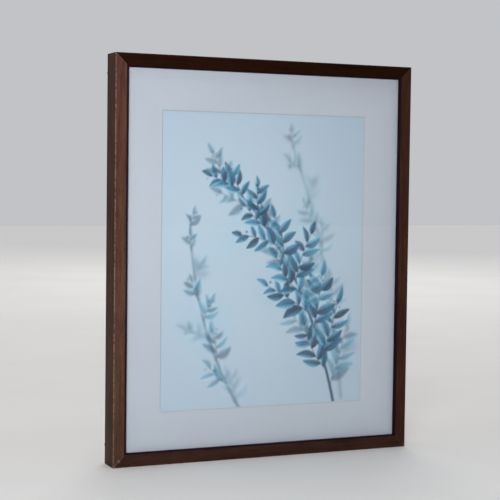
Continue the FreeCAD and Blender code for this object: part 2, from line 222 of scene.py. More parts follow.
class Recipe:
    """A material under construction: one shader, and the nodes that feed it."""

    def __init__(self, name, **finish):
        self.material = bpy.data.materials.new(name)
        self.material.use_nodes = True
        self.tree = self.material.node_tree
        self.shader = self.tree.nodes["Principled BSDF"]
        for socket, value in finish.items():
            self.shader.inputs[socket.replace("_", " ")].default_value = value

    def add(self, kind, inputs=None, **settings):
        """A node of a kind, with its settings, and with values or sockets put into its inputs."""
        node = self.tree.nodes.new("ShaderNode" + kind)
        for key, value in settings.items():
            setattr(node, key, value)
        for key, value in (inputs or {}).items():
            self.feed(value, node.inputs[key])
        return node

    def feed(self, value, socket):
        """A socket is linked, and anything else is a plain value."""
        if isinstance(value, bpy.types.NodeSocket):
            self.tree.links.new(value, socket)
        else:
            socket.default_value = value

    def place(self, scale=(1, 1, 1)):
        """Object coordinates, stretched."""
        where = self.add("TexCoord").outputs["Object"]
        return self.add("Mapping", {"Vector": where, "Scale": scale}).outputs["Vector"]

    def moved(self, where, shift):
        """Coordinates moved by a vector."""
        return self.add("VectorMath", {0: where, 1: shift}, operation="ADD").outputs["Vector"]

    def noise(self, where, scale, detail=3.0, roughness=0.5, distortion=0.0):
        """Noise as a grey value."""
        inputs = {"Vector": where, "Scale": scale, "Detail": detail}
        inputs.update({"Roughness": roughness, "Distortion": distortion})
        return self.add("TexNoise", inputs).outputs["Fac"]

    def ramp(self, value, *stops):
        """Colours or greys along a value, from (position, colour) stops."""
        node = self.add("ValToRGB", {"Fac": value})
        while len(node.color_ramp.elements) < len(stops):
            node.color_ramp.elements.new(0.5)
        for element, (position, colour) in zip(node.color_ramp.elements, stops):
            element.position = position
            element.color = (*colour, 1.0) if isinstance(colour, tuple) else (colour, colour, colour, 1.0)
        return node.outputs["Color"]

    def math(self, operation, a, b=0.0):
        """Two values in one sum."""
        return self.add("Math", {0: a, 1: b}, operation=operation).outputs["Value"]

    def rise(self, value, low, high):
        """Goes smoothly from 0 to 1 as a value goes from low to high, or back if high is the lower."""
        inputs = {"Value": value, "From Min": low, "From Max": high}
        return self.add("MapRange", inputs, interpolation_type="SMOOTHSTEP").outputs["Result"]

    def both(self, *masks):
        """A mask that holds only where all of them do."""
        product = masks[0]
        for mask in masks[1:]:
            product = self.math("MULTIPLY", product, mask)
        return product

    def most(self, *masks):
        """A mask that holds where any of them does."""
        largest = masks[0]
        for mask in masks[1:]:
            largest = self.math("MAXIMUM", largest, mask)
        return largest

    def tinted(self, colour, by, share=1.0):
        """A colour multiplied by another, as far as the share says."""
        return self.mix(share, colour, by, "MULTIPLY")

    def mix(self, share, first, second, blend="MIX"):
        """Two colours mixed."""
        node = self.add("Mix", data_type="RGBA", blend_type=blend)
        self.feed(share, node.inputs["Factor"])
        self.feed(first, node.inputs[FIRST_COLOUR])
        self.feed(second, node.inputs[SECOND_COLOUR])
        return node.outputs[MIXED_COLOUR]

    def bump(self, height, depth, strength=1.0, under=None):
        """Relief from a grey value, depth in metres, over another relief."""
        inputs = {"Height": height, "Distance": depth, "Strength": strength}
        if under is not None:
            inputs["Normal"] = under
        return self.add("Bump", inputs).outputs["Normal"]

    def finish(self, **sockets):
        """Links the shader's own sockets and gives back the material."""
        for socket, value in sockets.items():
            self.feed(value, self.shader.inputs[socket.replace("_", " ")])
        return self.material


print("helpers:", [name for name in vars(Recipe) if not name.startswith("_")])

# %% [markdown]
# ## The floor's finish
#
# A studio floor is painted board or paper. It has hardly any pattern, only a faint unevenness that
# stops it from looking like a computer's plane. The lamps hardly reach its far end, where a real studio
# would have a lit sweep of paper, so the paint grows paler there and the floor keeps its tone.

# %% Floor paint
NEAR_FLOOR = 3.9
FAR_FLOOR = 6.0
FAR_TONE = (0.95, 0.94, 0.94, 1.0)
floor_paint = Recipe("floor_paint", Roughness=0.85)
faint = floor_paint.noise(floor_paint.place(), 3.0)
even = floor_paint.ramp(faint, (0.3, (0.70, 0.69, 0.68)), (0.7, (0.74, 0.73, 0.72)))
away = floor_paint.add("VectorMath", {0: floor_paint.place()}, operation="LENGTH").outputs["Value"]
distant = floor_paint.rise(away, NEAR_FLOOR, FAR_FLOOR)
whole_floor = floor_paint.mix(distant, even, FAR_TONE)
floor_mesh.materials.append(floor_paint.finish(Base_Color=whole_floor))
print("floor paint:", floor_paint.material.name)

# %% [markdown]
# ## Where wear, painted highlight and painted shade sit
#
# Handling rubs a lacquered frame where fingers and walls meet it: on the corners, and a little along the
# mitres. Pale wood is also laid along the front arrises and the mitres as a painted highlight. Painted
# shade goes the other way: a near-black band along the sight edge, and darker outer sides. These places
# could be painted by hand, but every one of them is at some distance from the outer side, the outer end
# or the front of the moulding, so three distances are enough to find them all.

# %% Masks for wear and stain
HALF_WIDTH = (cad_high.x - cad_low.x) / 2
HALF_HEIGHT = (cad_high.z - cad_low.z) / 2
FACE_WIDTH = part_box("rail_left")[1].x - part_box("rail_left")[0].x
KNOCK = (8.0 * MM - HALF_WIDTH, cad_low.y, cad_low.z + 8.0 * MM)
# How strongly the arrises show their painted highlight, and the mitres their wear and painted highlight.
ARRIS_HIGHLIGHT = 0.45
MITRE_WEAR_AND_HIGHLIGHT = 0.35


def across_moulding(wood):
    """Distances from the moulding's outer side and outer end, and back from its front."""
    place = wood.add("SeparateXYZ", {0: wood.place()}).outputs
    from_side = wood.math("SUBTRACT", HALF_WIDTH, wood.math("ABSOLUTE", place["X"]))
    high = wood.math("ABSOLUTE", wood.math("SUBTRACT", place["Z"], centre.z))
    from_end = wood.math("SUBTRACT", HALF_HEIGHT, high)
    behind = wood.math("SUBTRACT", place["Y"], cad_low.y)
    return from_side, from_end, behind


def wear_and_highlight_places(wood, patches):
    """Where pale wood shows: wear on the corners, mitres and one knock, and a painted highlight on
    arrises and mitres.
    """
    from_side, from_end, behind = across_moulding(wood)
    inward = wood.math("MINIMUM", from_side, from_end)
    off_arris = wood.math("ADD", inward, behind)
    arris = wood.both(wood.rise(off_arris, 1.9 * MM, 0.9 * MM), wood.rise(patches, 0.36, 0.58))
    off_mitre = wood.math("ABSOLUTE", wood.math("SUBTRACT", from_side, from_end))
    mitre = wood.both(
        wood.rise(behind, 1.4 * MM, 0.5 * MM), wood.rise(inward, FACE_WIDTH * 1.5, 0.0),
        wood.rise(off_mitre, 1.3 * MM, 0.4 * MM), wood.rise(patches, 0.22, 0.42),
    )
    off_corner = wood.math("ADD", wood.math("MAXIMUM", from_side, from_end), behind)
    corner = wood.both(wood.rise(off_corner, 6.0 * MM, 1.5 * MM), wood.rise(patches, 0.46, 0.56))
    off_knock = wood.add("VectorMath", {0: wood.place(), 1: KNOCK}, operation="DISTANCE").outputs["Value"]
    knock = wood.both(wood.rise(off_knock, 3.2 * MM, 0.8 * MM), wood.rise(patches, 0.30, 0.55))
    arris, mitre = wood.math("MULTIPLY", arris, ARRIS_HIGHLIGHT), wood.math("MULTIPLY", mitre, MITRE_WEAR_AND_HIGHLIGHT)
    return wood.most(arris, mitre, corner, knock)


def painted_shade_places(wood, shade_width):
    """Masks for painted shade: a near-black band along the sight edge, as wide as given, and the outer
    sides.
    """
    from_side, from_end, behind = across_moulding(wood)
    inward = wood.math("MINIMUM", from_side, from_end)
    edge_of_shade = FACE_WIDTH - shade_width
    sight_edge_shade = wood.rise(inward, edge_of_shade - 0.4 * MM, edge_of_shade + 0.4 * MM)
    outer_side_shade = wood.both(wood.rise(inward, 0.9 * MM, 0.3 * MM), wood.rise(behind, 0.5 * MM, 1.5 * MM))
    return sight_edge_shade, outer_side_shade


print("moulding face in mm:", round(FACE_WIDTH / MM, 1))

# %% [markdown]
# ## Walnut
#
# The moulding is walnut-stained wood under a satin lacquer. Its grain runs along each rail, so the
# same recipe is stretched along X for the top and bottom rails and along Z for the sides. Long soft
# bands come from stretched noise, fine dark pores from a finer noise that is stretched as far, and the
# stain has sunk in unevenly. Each rail gets its own tone, and these tones are painted light and shade:
# the left rail is painted palest, as lit, the top rail darkest, as in shade, and the other two between.

# %% Walnut recipe
LENGTHWAYS = 0.045
# The outer sides' painted shade, pale wood for wear and painted highlight, and the sight edge's painted
# shade.
SIDE_SHADE = (0.52, 0.51, 0.39, 1.0)
RAW_WOOD_AND_HIGHLIGHT = (0.355, 0.230, 0.172, 1.0)
SIGHT_EDGE_SHADE = (0.012, 0.004, 0.010, 1.0)
WHITE = (1.0, 1.0, 1.0, 1.0)
WARM_TIDE = (1.04, 1.16, 0.74, 1.0)


def scaled(colour, by):
    """A colour made lighter or darker."""
    return tuple(c * by for c in colour)


def walnut(name, along, shaded_stain, shade_width, wear_and_highlight_share, seed):
    """Lacquered walnut: grain along X or Z, stain with painted light and shade, sight-edge shade width,
    wear and painted highlight.
    """
    wood = Recipe(name, Specular_IOR_Level=0.02)
    stretch = (LENGTHWAYS, 1, 1) if along == "X" else (1, 1, LENGTHWAYS)
    grain = wood.moved(wood.place(stretch), (seed, seed * 0.7, seed * 1.3))
    bands = wood.noise(grain, 260, 4.0, 0.55, 0.6)
    pores = wood.noise(grain, 1500, 2.0, 0.6)
    tide = wood.noise(grain, 34, 2.0, 0.5)
    cloud = wood.noise(wood.place(), 22, 3.0, 0.5)
    patches = wood.noise(wood.place(), 210, 3.0, 0.6)

    dark = scaled(shaded_stain, 0.66)
    golden = (shaded_stain[0] * 1.18, shaded_stain[1] * 1.32, shaded_stain[2] * 0.92)
    colour = wood.ramp(bands, (0.30, dark), (0.5, shaded_stain), (0.72, golden))
    colour = wood.tinted(colour, wood.mix(wood.ramp(tide, (0.42, 0.0), (0.62, 0.75)), WHITE, WARM_TIDE))
    colour = wood.mix(wood.ramp(pores, (0.34, 0.55), (0.44, 0.0)), colour, (*scaled(dark, 0.3), 1.0))
    colour = wood.tinted(colour, wood.ramp(cloud, (0.3, 0.86), (0.7, 1.12)))

    # Painted shade: the outer sides are painted darker and warmer, and a band at the sight edge near
    # black.
    sight_edge_shade, outer_side_shade = painted_shade_places(wood, shade_width)
    colour = wood.tinted(colour, SIDE_SHADE, outer_side_shade)
    # Pale wood: real wear on the corners, mitres and one knock, and a painted highlight on the arrises
    # and mitres.
    colour = wood.mix(wood.math("MULTIPLY", wear_and_highlight_places(wood, patches), wear_and_highlight_share), colour, RAW_WOOD_AND_HIGHLIGHT)
    colour = wood.mix(wood.math("MULTIPLY", sight_edge_shade, 0.9), colour, SIGHT_EDGE_SHADE)

    relief = wood.bump(bands, 0.12 * MM, 0.35, wood.bump(pores, 0.06 * MM, 0.5))
    sheen = wood.ramp(bands, (0.3, 0.5), (0.7, 0.36))
    return wood.finish(Base_Color=colour, Roughness=sheen, Normal=relief)


# side: grain along, stain with painted light and shade, width of the sight edge's painted shade, wear and
# painted highlight, seed
# Each rail's tone is painted light and shade, from the lit left rail to the top rail in shade.
lit_and_shaded_rails = {
    "left": ("Z", (0.110, 0.048, 0.038), 3.1 * MM, 0.90, 0.0),
    "right": ("Z", (0.051, 0.0185, 0.0158), 2.2 * MM, 0.15, 3.1),
    "top": ("X", (0.0190, 0.0052, 0.0026), 2.4 * MM, 0.12, 5.7),
    "bottom": ("X", (0.0470, 0.0200, 0.0148), 1.9 * MM, 0.30, 8.3),
}
rail_finish = {side: walnut("walnut_shaded_" + side, *shaded_rail) for side, shaded_rail in lit_and_shaded_rails.items()}
print("rail finishes:", sorted(rail_finish))

# %% [markdown]
# ## Softening an edge
#
# No real edge is perfectly sharp: sandpaper, a saw or a press leaves it a fraction of a millimetre
# round, and that is where it catches the light. The measured pieces come as loose triangles, so a copy
# is merged, its flat areas are joined into whole faces again, and every sharp edge is bevelled. This
# keeps each slot and hole of the measured piece, which modelling it afresh would have to repeat.

# %% Softened copies
SHARP = math.radians(35)
FLAT = math.radians(0.6)
WELD = 0.001 * MM


def finished(form, name, body, replaced, materials, sharp=SHARP):
    """Turns a bmesh into a piece that rides on a body and stands for one measured node."""
    mesh = bpy.data.meshes.new(name)
    for face in form.faces:
        face.smooth = True
    for edge in form.edges:
        edge.smooth = not (edge.is_manifold and edge.calc_face_angle(0.0) > sharp)
    form.to_mesh(mesh)
    form.free()
    for material in materials:
        mesh.materials.append(material)
    piece = bpy.data.objects.new(name, mesh)
    scene.collection.objects.link(piece)
    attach(piece, body)
    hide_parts(replaced)
    print(name, "on", body + ":", len(mesh.polygons), "faces")
    return piece


def merged_copy(node):
    """A bmesh of a measured node, with its loose triangles joined into whole faces."""
    form = bmesh.new()
    form.from_mesh(nodes[node].data)
    bmesh.ops.remove_doubles(form, verts=form.verts, dist=WELD)
    bmesh.ops.dissolve_limit(form, angle_limit=FLAT, verts=form.verts, edges=form.edges)
    return form


def soften(form, width, segments=2, angle=SHARP):
    """Bevels every edge that is sharper than an angle."""
    sharp = [e for e in form.edges if e.is_manifold and e.calc_face_angle(0.0) > angle]
    bmesh.ops.bevel(
        form, geom=sharp, offset=width, offset_type="OFFSET", segments=segments, profile=0.5,
        affect="EDGES", clamp_overlap=True, material=-1,
    )
    return form


print("edges count as sharp above", round(math.degrees(SHARP)), "degrees")

# %% [markdown]
# ## The rails of the moulding
#
# Each rail is a length of rebated moulding, sawn to a mitre at both ends. It could be extruded from a
# drawn profile and cut at the corners, but the measured rails already have their rebate, their small
# rounds and the slots for the nails. So each is a softened copy, painted with its own walnut tone, in
# which light and shade are painted.

# %% Rails
RAIL_ROUND = 0.15 * MM
for side, material in rail_finish.items():
    node = "rail_" + side
    rail = soften(merged_copy(node), RAIL_ROUND)
    finished(rail, "walnut_shaded_" + node, "frame", node, [material])

# %% [markdown]
# ## Glazing
#
# Two millimetres of float glass. A ray of light bends in and out of it, and a few percent of what is
# in front is mirrored. A lamp's light couldn't find its way through a true glass shader to the print
# behind, so the glass counts as clear for shadow rays. Light that the print and mat throw back counts
# it as clear too, or the lamps would be counted twice.

# %% Glass
GLASS_TINT = (0.97, 0.99, 0.985, 1.0)
CLEAR_TINT = (0.97, 0.985, 0.98, 1.0)
glass = Recipe("float_glass", Base_Color=GLASS_TINT, Roughness=0.0, IOR=1.5, Transmission_Weight=1.0)
clear = glass.add("BsdfTransparent", {"Color": CLEAR_TINT}).outputs[0]
rays = glass.add("LightPath").outputs
pane = glass.shader.outputs[0]
for ray in ("Is Diffuse Ray", "Is Shadow Ray"):
    pane = glass.add("MixShader", {0: rays[ray], 1: pane, 2: clear}).outputs[0]
glass.tree.links.new(pane, glass.tree.nodes["Material Output"].inputs["Surface"])


def repaint(node, material):
    """Gives a measured node, which keeps its shape, another finish."""
    slots = nodes[node].data.materials
    slots.clear()
    slots.append(material)
    print(node, "repainted with", material.name)


repaint("glazing", glass.material)

# %% [markdown]
# ## Window mat
#
# A mat is board about a millimetre and a half thick: a tinted face paper over a white core. A cutter
# held at 45 degrees opens the window, so the core shows as a thin bevel all round the print. The
# measured piece has the bevel, so its copy is only softened by a hair. The sloping faces are then
# picked out by the way they face, and get the core's finish, painted a grey darker than the face paper:
# painted shade on the bevel.

# %% Mat
MAT_ROUND = 0.05 * MM
BEVEL_SLOPE = (0.3, 0.98)
face_paper = Recipe("mat_face_paper", Roughness=0.82, Specular_IOR_Level=0.3)
tooth = face_paper.noise(face_paper.place(), 900, 3.0, 0.6)
cloudy = face_paper.noise(face_paper.place(), 9, 2.0)
paper_tone = face_paper.ramp(cloudy, (0.3, (0.584, 0.617, 0.702)), (0.7, (0.606, 0.635, 0.717)))
paper_tone = face_paper.tinted(paper_tone, face_paper.ramp(tooth, (0.35, 0.45), (0.65, 1.0)), 0.06)
face_paper.finish(Base_Color=paper_tone, Normal=face_paper.bump(tooth, 0.05 * MM, 0.5))

# The core is painted grey, darker than the face paper: painted shade on the bevel.
shaded_mat_core = Recipe("shaded_mat_core", Roughness=0.9, Specular_IOR_Level=0.2)
fibres = shaded_mat_core.noise(shaded_mat_core.place(), 2200, 2.0, 0.7)
shaded_core_tone = shaded_mat_core.ramp(fibres, (0.3, (0.43, 0.465, 0.51)), (0.7, (0.50, 0.53, 0.575)))
shaded_mat_core.finish(Base_Color=shaded_core_tone, Normal=shaded_mat_core.bump(fibres, 0.04 * MM, 0.6))

form = soften(merged_copy("window_mat"), MAT_ROUND, segments=1)
for face in form.faces:
    face.material_index = int(BEVEL_SLOPE[0] < abs(face.normal.y) < BEVEL_SLOPE[1])
mat_finish = [face_paper.material, shaded_mat_core.material]
finished(form, "bevelled_mat", "frame", "window_mat", mat_finish)

# %% [markdown]
# ## The print's inks
#
# The print is a soft-focus botanical picture in teal on a pale blue ground. The plant is made up for
# this lesson. It could be built as nodes, but a leaf is easier to describe in code, so the colour of
# each point of a fine mesh is worked out here and kept as an attribute, which the material then reads.
# First come the ground, the five inks from dark to pale, and a few ways to find a place on the sheet.

# %% Inks of the print
PALE_GROUND = np.array((0.550, 0.662, 0.780))
GROUND_EDGE = np.array((0.496, 0.606, 0.742))
INK_TONES = np.array((
    (0.004, 0.026, 0.075),
    (0.014, 0.110, 0.215),
    (0.075, 0.310, 0.480),
    (0.270, 0.570, 0.760),
    (0.690, 0.850, 0.940),
))
chance = np.random.default_rng(11)


def soft_step(value):
    """Goes smoothly from 0 to 1 as the value does."""
    value = np.clip(value, 0.0, 1.0)
    return value * value * (3 - 2 * value)


def ink_tone(value):
    """A colour between the inks, from 0, the darkest, to 1, the palest."""
    stops = np.linspace(0, 1, len(INK_TONES))
    return np.stack([np.interp(value, stops, channel) for channel in INK_TONES.T], axis=-1)


def bent_line(start, handle, end, steps):
    """Points along a stem from start to end, pulled towards a handle."""
    t = np.linspace(0, 1, steps)[:, None]
    return (1 - t) ** 2 * np.array(start) + 2 * t * (1 - t) * np.array(handle) + t**2 * np.array(end)


def toward(spot, heading, length):
    """The place at a length from a spot in the direction of a heading."""
    return np.array(spot) + length * np.array((math.cos(heading), math.sin(heading)))


print(len(INK_TONES), "inks")

# %% [markdown]
# ## One leaf, stem or bud
#
# Each stroke finds the points near it, works out how far inside its outline each one lies, and lays
# its tone over them. The width of that outline's edge is the blur, so one number takes a leaf from
# sharp to far out of focus. A leaf is darker at its foot and midrib, and paler at its rim.

# %% Painting one leaf, stem or bud
PAPER_HALF = (150 * MM, 200 * MM)
STEM_TAPER = 0.65


class Picture:
    """Colours at a cloud of points, which are painted over bit by bit."""

    def __init__(self, x, z):
        self.x, self.z = x, z
        off_middle = np.hypot(x / PAPER_HALF[0], z / PAPER_HALF[1])
        away = soft_step((off_middle - 0.35) / 1.2)[:, None]
        self.colour = PALE_GROUND * (1 - away) + GROUND_EDGE * away

    def around(self, spot, reach):
        """The points within reach of a spot, and how far right of it and above it each one is."""
        near = np.flatnonzero(np.hypot(self.x - spot[0], self.z - spot[1]) < reach)
        return near, self.x[near] - spot[0], self.z[near] - spot[1]

    def lay(self, near, colour, mask):
        """Lays a colour over some of the points, as thickly as the mask says."""
        self.colour[near] += (colour - self.colour[near]) * mask[:, None]

    def bud(self, spot, radius, blur, tone, depth):
        """A round bud, or a patch of haze if its blur is wide."""
        near, right, up = self.around(spot, radius + blur)
        self.lay(near, ink_tone(tone), soft_step(0.5 + (radius - np.hypot(right, up)) / blur) * depth)

    def stem(self, points, thick, blur, tone, depth):
        """A stem that tapers to its end, laid in one go so that its joints don't show."""
        mask = np.zeros(len(self.x))
        for number, (a, b) in enumerate(zip(points, points[1:])):
            radius = thick / 2 * (1 - STEM_TAPER * number / len(points))
            run = b - a
            near, right, up = self.around(a, radius + blur + np.hypot(*run))
            share = np.clip((right * run[0] + up * run[1]) / (run @ run), 0, 1)
            off = np.hypot(right - share * run[0], up - share * run[1])
            mask[near] = np.maximum(mask[near], soft_step(0.5 + (radius - off) / blur) * depth)
        near = np.flatnonzero(mask)
        self.lay(near, ink_tone(tone), mask[near])

    def leaf(self, foot, heading, length, width, curl, blur, tone, depth):
        """A pointed leaf: dark at its foot and midrib, paler at its rim and on the side that is lit."""
        near, right, up = self.around(foot, length * 1.1 + blur)
        forward = (right * math.cos(heading) + up * math.sin(heading)) / length
        along = np.clip(forward, 0, 1)
        bow = curl * length * np.sin(math.pi * along)
        aside = up * math.cos(heading) - right * math.sin(heading) - bow
        half = width / 2 * np.sin(math.pi * along**0.8) ** 0.85
        inside = soft_step(0.5 + forward * length / blur) * soft_step(0.5 + (1 - forward) * length / blur)
        mask = soft_step(0.5 + (half - np.abs(aside)) / blur) * inside * depth
        rib = np.exp(-((aside / (0.07 * width + 0.25 * blur)) ** 2)) * (1 - 0.7 * along)
        rim = np.clip(np.abs(aside) / (half + 0.1 * MM), 0, 1) ** 3
        lit = soft_step(0.5 + aside / width) - 0.5
        veins = np.sin(along * 30 - np.abs(aside) / width * 14)
        shade = tone + 0.34 * lit + 0.16 * rim - 0.26 * rib - 0.22 * (1 - along) ** 2 + 0.035 * veins
        self.lay(near, ink_tone(shade), mask)


print("strokes:", [name for name in vars(Picture) if not name.startswith("_")])

# %% [markdown]
# ## The spray
#
# A leafy branch comes in from the lower right and arches to the upper left, with two more behind it
# that are out of focus. A branch is a bent stem with twigs, and a twig is a bowed stem with leaves on
# both sides. Chance varies every leaf a little, from a fixed start, so the print is always the same.
# Distance is a matter of blur and paleness, as in a real soft lens.

# %% Painting the spray
TWIG_STEPS = 12
BRANCH_STEPS = 40
LEAF_GAP = 11 * MM
TWIG_THICKNESS = 1.5 * MM
BRANCH_THICKNESS = 4.4 * MM
# In mm from the print's middle: start, handle, end, twigs, reach, leaf length, blur, tone, depth.
BRANCHES = (
    ((118, -190), (96, 20), (34, 168), 9, 46, 26, 8.0, 0.62, 0.40),
    ((-30, -205), (-104, -90), (-108, 60), 9, 40, 24, 5.0, 0.52, 0.62),
    ((108, -205), (62, 10), (-72, 122), 19, 80, 30, 1.9, 0.40, 0.96),
)


def paint_twig(picture, start, heading, length, leaf_length, blur, tone, depth):
    """A bowed twig with leaves on both sides, one at its tip, and a few buds."""
    bow = chance.uniform(-0.35, 0.35)
    tip = toward(start, heading + bow, length)
    points = bent_line(start, toward(start, heading, length * 0.5), tip, TWIG_STEPS)
    picture.stem(points, TWIG_THICKNESS, blur, 0.22, depth)
    leaves = 3 + int(length / LEAF_GAP)
    for number in range(leaves):
        place = (number + 1) / leaves
        spot = points[int(place * (TWIG_STEPS - 1))]
        side = 0 if number == leaves - 1 else (1 if number % 2 else -1)
        lean = heading + bow * place + side * math.radians(chance.uniform(34, 62))
        size = leaf_length * (1.1 - 0.35 * place) * chance.uniform(0.82, 1.15)
        width = size * chance.uniform(0.34, 0.50)
        own_tone = tone + chance.uniform(-0.20, 0.24)
        curl = chance.uniform(-0.10, 0.10)
        own_blur = blur * chance.uniform(0.7, 1.7)
        picture.leaf(spot, lean, size, width, curl, own_blur, own_tone, depth)
    for _ in range(3):
        bud = toward(tip, chance.uniform(0, 2 * math.pi), chance.uniform(2, 9) * MM)
        picture.bud(bud, chance.uniform(0.7, 1.5) * MM, blur, 0.05, depth * 0.9)


def paint_branch(picture, start, handle, end, twigs, reach, leaf_length, blur, tone, depth):
    """A bent stem with twigs on both sides that get shorter towards its end."""
    points = bent_line(start, handle, end, BRANCH_STEPS)
    picture.stem(points, BRANCH_THICKNESS, blur, 0.20, depth)
    for number in range(twigs):
        place = 0.10 + 0.88 * number / (twigs - 1)
        step = int(place * (BRANCH_STEPS - 2))
        here, ahead = points[step], points[step + 1]
        heading = math.atan2(ahead[1] - here[1], ahead[0] - here[0])
        side = 1 if number % 2 else -1
        heading += side * math.radians(chance.uniform(26, 50)) * (1.0 - 0.5 * place)
        length = reach * (1.05 - 0.62 * place) * chance.uniform(0.8, 1.15)
        leaf = leaf_length * (1.1 - 0.35 * place)
        far = number % 3 == 0
        softer, paler, thinner = (2.4, 0.16, 0.6) if far else (1.0, 0.0, 1.0)
        paint_twig(picture, here, heading, length, leaf, blur * softer, tone + paler, depth * thinner)


def ink(x, z):
    """The print's colours at places measured from its middle."""
    picture = Picture(x, z)
    for _ in range(12):
        haze = chance.uniform((-90 * MM, -120 * MM), (90 * MM, 150 * MM))
        picture.bud(haze, chance.uniform(14, 34) * MM, 60 * MM, 0.80, 0.16)
    for start, handle, end, twigs, reach, leaf_length, blur, tone, depth in BRANCHES:
        place = [tuple(c * MM for c in point) for point in (start, handle, end)]
        paint_branch(picture, *place, twigs, reach * MM, leaf_length * MM, blur * MM, tone, depth)
    return picture.colour


print(len(BRANCHES), "branches, the farthest first")

# %% [markdown]
# ## The sheet
#
# The print is a single sheet of paper. Its front needs a point every millimetre or so for the picture
# to sit on, so it is a fine grid that is turned upright. Its rim is then drawn back to the thickness of
# the paper and closed with one face, which needs no points at all. An extrusion leaves the new faces
# in a chance order, so they are sorted by place, and the mesh is the same in every run.

# %% Sheet
POINT_GAP = 1.15 * MM
UPRIGHT = Matrix.Rotation(math.radians(90), 3, "X")


def sort_by_place(parts, place):
    """Sorts a mesh's points or faces by where each of them is, to a micrometre."""
    for number, part in enumerate(sorted(parts, key=lambda part: [round(c, 6) for c in place(part)])):
        part.index = number
    parts.sort()


print_low, print_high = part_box("art_print")
print_size = print_high - print_low
print_middle = (print_low + print_high) / 2
columns = int(print_size.x / POINT_GAP)
rows = int(print_size.z / POINT_GAP)
sheet = bmesh.new()
bmesh.ops.create_grid(sheet, x_segments=columns, y_segments=rows, size=0.5)
bmesh.ops.scale(sheet, verts=sheet.verts, vec=(print_size.x, print_size.z, 1))
bmesh.ops.rotate(sheet, verts=sheet.verts, cent=(0, 0, 0), matrix=UPRIGHT)
rim = [edge for edge in sheet.edges if edge.is_boundary]
back = bmesh.ops.extrude_edge_only(sheet, edges=rim)["geom"]
back_points = [part for part in back if isinstance(part, bmesh.types.BMVert)]
back_edges = [part for part in back if isinstance(part, bmesh.types.BMEdge)]
bmesh.ops.translate(sheet, verts=back_points, vec=(0, print_size.y, 0))
bmesh.ops.contextual_create(sheet, geom=back_edges)
bmesh.ops.translate(sheet, verts=sheet.verts, vec=(print_middle.x, print_low.y, print_middle.z))
bmesh.ops.recalc_face_normals(sheet, faces=sheet.faces)
sort_by_place(sheet.verts, lambda point: point.co)
sort_by_place(sheet.faces, lambda face: face.calc_center_median())
print("sheet of", columns, "by", rows, "cells")

# %% [markdown]
# ## Paper and ink
#
# The paper is matt, with a fine tooth that lightens and darkens the ink by a hair. The painted colours
# are kept on the sheet's points under the name that the material asks for.

# %% Print
print_paper = Recipe("print_paper", Roughness=0.75, Specular_IOR_Level=0.35)
inked = print_paper.add("Attribute", attribute_name="ink").outputs["Color"]
tooth = print_paper.noise(print_paper.place(), 1400, 2.0, 0.6)
inked = print_paper.tinted(inked, print_paper.ramp(tooth, (0.3, 0.4), (0.7, 1.0)), 0.05)
print_paper.finish(Base_Color=inked, Normal=print_paper.bump(tooth, 0.03 * MM, 0.4))

art = finished(sheet, "botanical_print", "frame", "art_print", [print_paper.material]).data
where = np.empty(len(art.vertices) * 3)
art.vertices.foreach_get("co", where)
where = where.reshape(-1, 3)
tint = np.ones((len(where), 4))
tint[:, :3] = np.clip(ink(where[:, 0] - print_middle.x, where[:, 2] - print_middle.z), 0, 1)
art.color_attributes.new("ink", "FLOAT_COLOR", "POINT")
art.color_attributes["ink"].data.foreach_set("color", tint.ravel())
print(len(tint), "points painted")

# %% [markdown]
# ## Mount board
#
# Behind the print comes a mount board, with the two tape hinges that hang the print from it, and a
# folded tape that joins it to the mat. They are flat and nobody sees them until the pack is opened, so
# they keep their measured shapes and only get their finish: for the board, a creamy flecked paper.

# %% Mount board
mount_paper = Recipe("mount_board_paper", Roughness=0.88, Specular_IOR_Level=0.25)
fleck = mount_paper.noise(mount_paper.place(), 700, 4.0, 0.7)
mount_tone = mount_paper.ramp(fleck, (0.3, (0.60, 0.59, 0.55)), (0.7, (0.70, 0.69, 0.65)))
mount_paper.finish(Base_Color=mount_tone, Normal=mount_paper.bump(fleck, 0.05 * MM, 0.4))
repaint("mount_board", mount_paper.material)

# %% [markdown]
# ## Linen tape
#
# Framers' tape is gummed linen. Its weave could be modelled thread by thread, but the threads are far
# finer than anything else here. Two sets of waves that cross, one along X and one along Z, give the
# same small squares of light and shade.

# %% Tapes
THREADS = 420.0
tape = Recipe("linen_tape", Roughness=0.8, Specular_IOR_Level=0.3)
threads = {"Vector": tape.place(), "Scale": THREADS, "Distortion": 0.6}
warp, weft = (tape.add("TexWave", threads, bands_direction=way).outputs["Fac"] for way in "XZ")
weave = tape.math("MULTIPLY", warp, weft)
tape_tone = tape.ramp(weave, (0.0, (0.62, 0.60, 0.53)), (0.6, (0.80, 0.79, 0.73)))
tape.finish(Base_Color=tape_tone, Normal=tape.bump(weave, 0.08 * MM, 0.6))
for node in ("book_hinge", "t_hinges"):
    repaint(node, tape.material)

# %% [markdown]
# ## Hardboard back
#
# The pack is closed by brown hardboard, wood fibre that was pressed wet against a polished plate. Its
# smooth side faces out: darker and lighter fibres lie tangled in it at every angle, with a dull
# polish on top. Noise that is warped by more noise gives the tangle.

